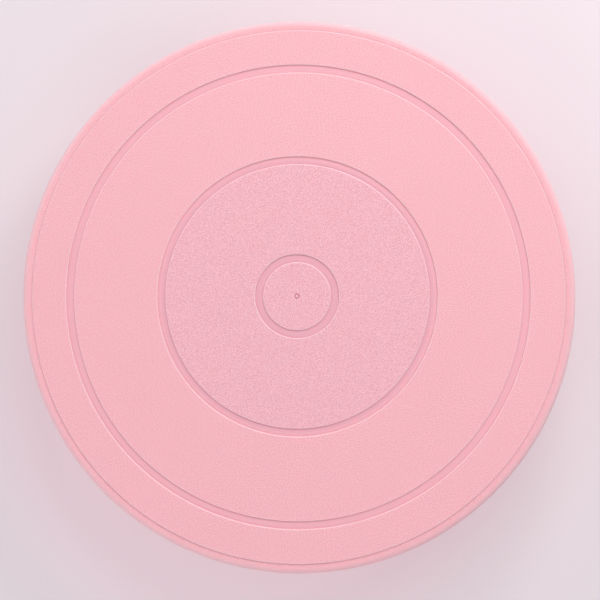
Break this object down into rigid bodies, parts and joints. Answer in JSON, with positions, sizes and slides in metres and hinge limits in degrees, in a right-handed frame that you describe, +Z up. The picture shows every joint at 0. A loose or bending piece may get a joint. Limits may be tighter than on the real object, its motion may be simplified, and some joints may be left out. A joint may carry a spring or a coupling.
{
  "type": "cake turntable",
  "caption": "Round pink cake turntable: a flat ribbed plate with concentric marking grooves spins on a ball bearing in a flared pedestal base and lifts off with its spindle.",
  "frame": {"origin": "centre of the base on the table plane that the rubber feet stand on", "axes": "+Z up along the plate's spin axis; +X through one of the rubber feet"},
  "size_m": [0.279, 0.279, 0.07],
  "materials": {
    "plate_plastic": "pink polypropylene, fine moulded texture on the outer bands and a coarser frosted one inside the middle ring",
    "base_plastic": "pink polypropylene, satin moulded",
    "spindle_steel": "turned and plated steel",
    "screw_zinc": "bright zinc-plated steel",
    "bearing_steel": "ground bearing steel",
    "ball_steel": "polished bearing steel",
    "cage_steel": "pressed steel strip",
    "bush_nylon": "natural nylon, satin",
    "seal_rubber": "soft grey rubber",
    "foot_rubber": "black anti-slip rubber"
  },
  "bodies": {
    "base": {"base_shell": "base_plastic", "bearing_outer_ring": "bearing_steel", "bearing_shield_upper": "cage_steel", "bearing_shield_lower": "cage_steel", "bearing_cap": "screw_zinc", "bearing_cap_screws": "screw_zinc", "dust_seal": "seal_rubber", "lower_bush": "bush_nylon", "tube_end_cap": "base_plastic", "rubber_feet": "foot_rubber"},
    "bearing_inner": {"bearing_inner_ring": "bearing_steel", "spindle_sleeve": "bush_nylon"},
    "ball_cage": {"bearing_balls": "ball_steel", "bearing_cage_upper": "cage_steel", "bearing_cage_lower": "cage_steel", "bearing_cage_rivets": "cage_steel"},
    "plate": {"turntable_plate": "plate_plastic", "spindle": "spindle_steel", "spindle_screws": "screw_zinc", "spindle_washers": "screw_zinc"}
  },
  "joints": [
    {"name": "plate_spin", "type": "hinge", "parent": "base", "child": "bearing_inner", "pos_m": [0, 0, 0.048], "axis": [0, 0, 1], "continuous": true},
    {"name": "cage_spin", "type": "hinge", "parent": "base", "child": "ball_cage", "pos_m": [0, 0, 0.048], "axis": [0, 0, 1], "continuous": true},
    {"name": "plate_lift", "type": "slide", "parent": "bearing_inner", "child": "plate", "axis": [0, 0, 1], "range_m": [0, 0.045]}
  ],
  "couplings": [
    {"joint": "cage_spin", "follows": "plate_spin", "ratio": 0.36477}
  ]
}
